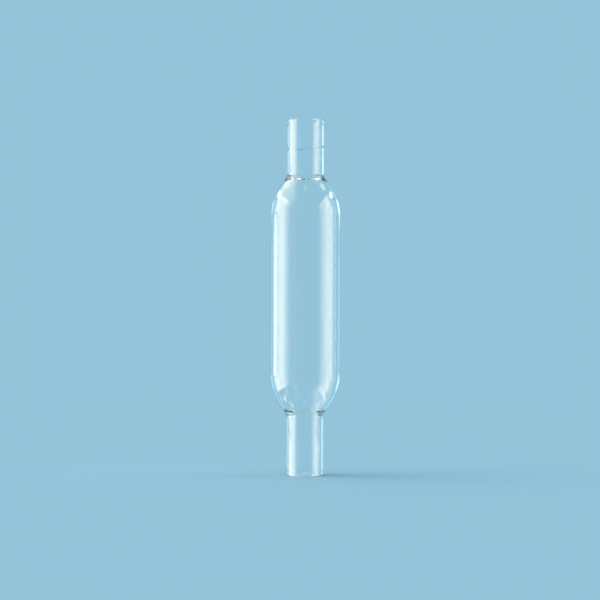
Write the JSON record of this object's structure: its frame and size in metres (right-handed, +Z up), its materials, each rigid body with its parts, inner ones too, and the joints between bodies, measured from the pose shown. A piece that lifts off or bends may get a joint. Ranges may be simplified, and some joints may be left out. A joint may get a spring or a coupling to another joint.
{
  "type": "straight drying tube",
  "caption": "Clear glass drying tube: a wide cylindrical chamber with rounded shoulders and a straight open neck at each end.",
  "frame": {"origin": "middle of the foot, on the plane of the lower neck's cut end", "axes": "+Z up along the tube's axis, towards the upper neck; the tube is round, so +X and +Y have no mark"},
  "size_m": [0.025, 0.025, 0.1259],
  "materials": {
    "borosilicate_glass": "clear, smooth as blown, with fire-polished ends"
  },
  "bodies": {
    "root": {"drying_tube": "borosilicate_glass"}
  },
  "joints": []
}
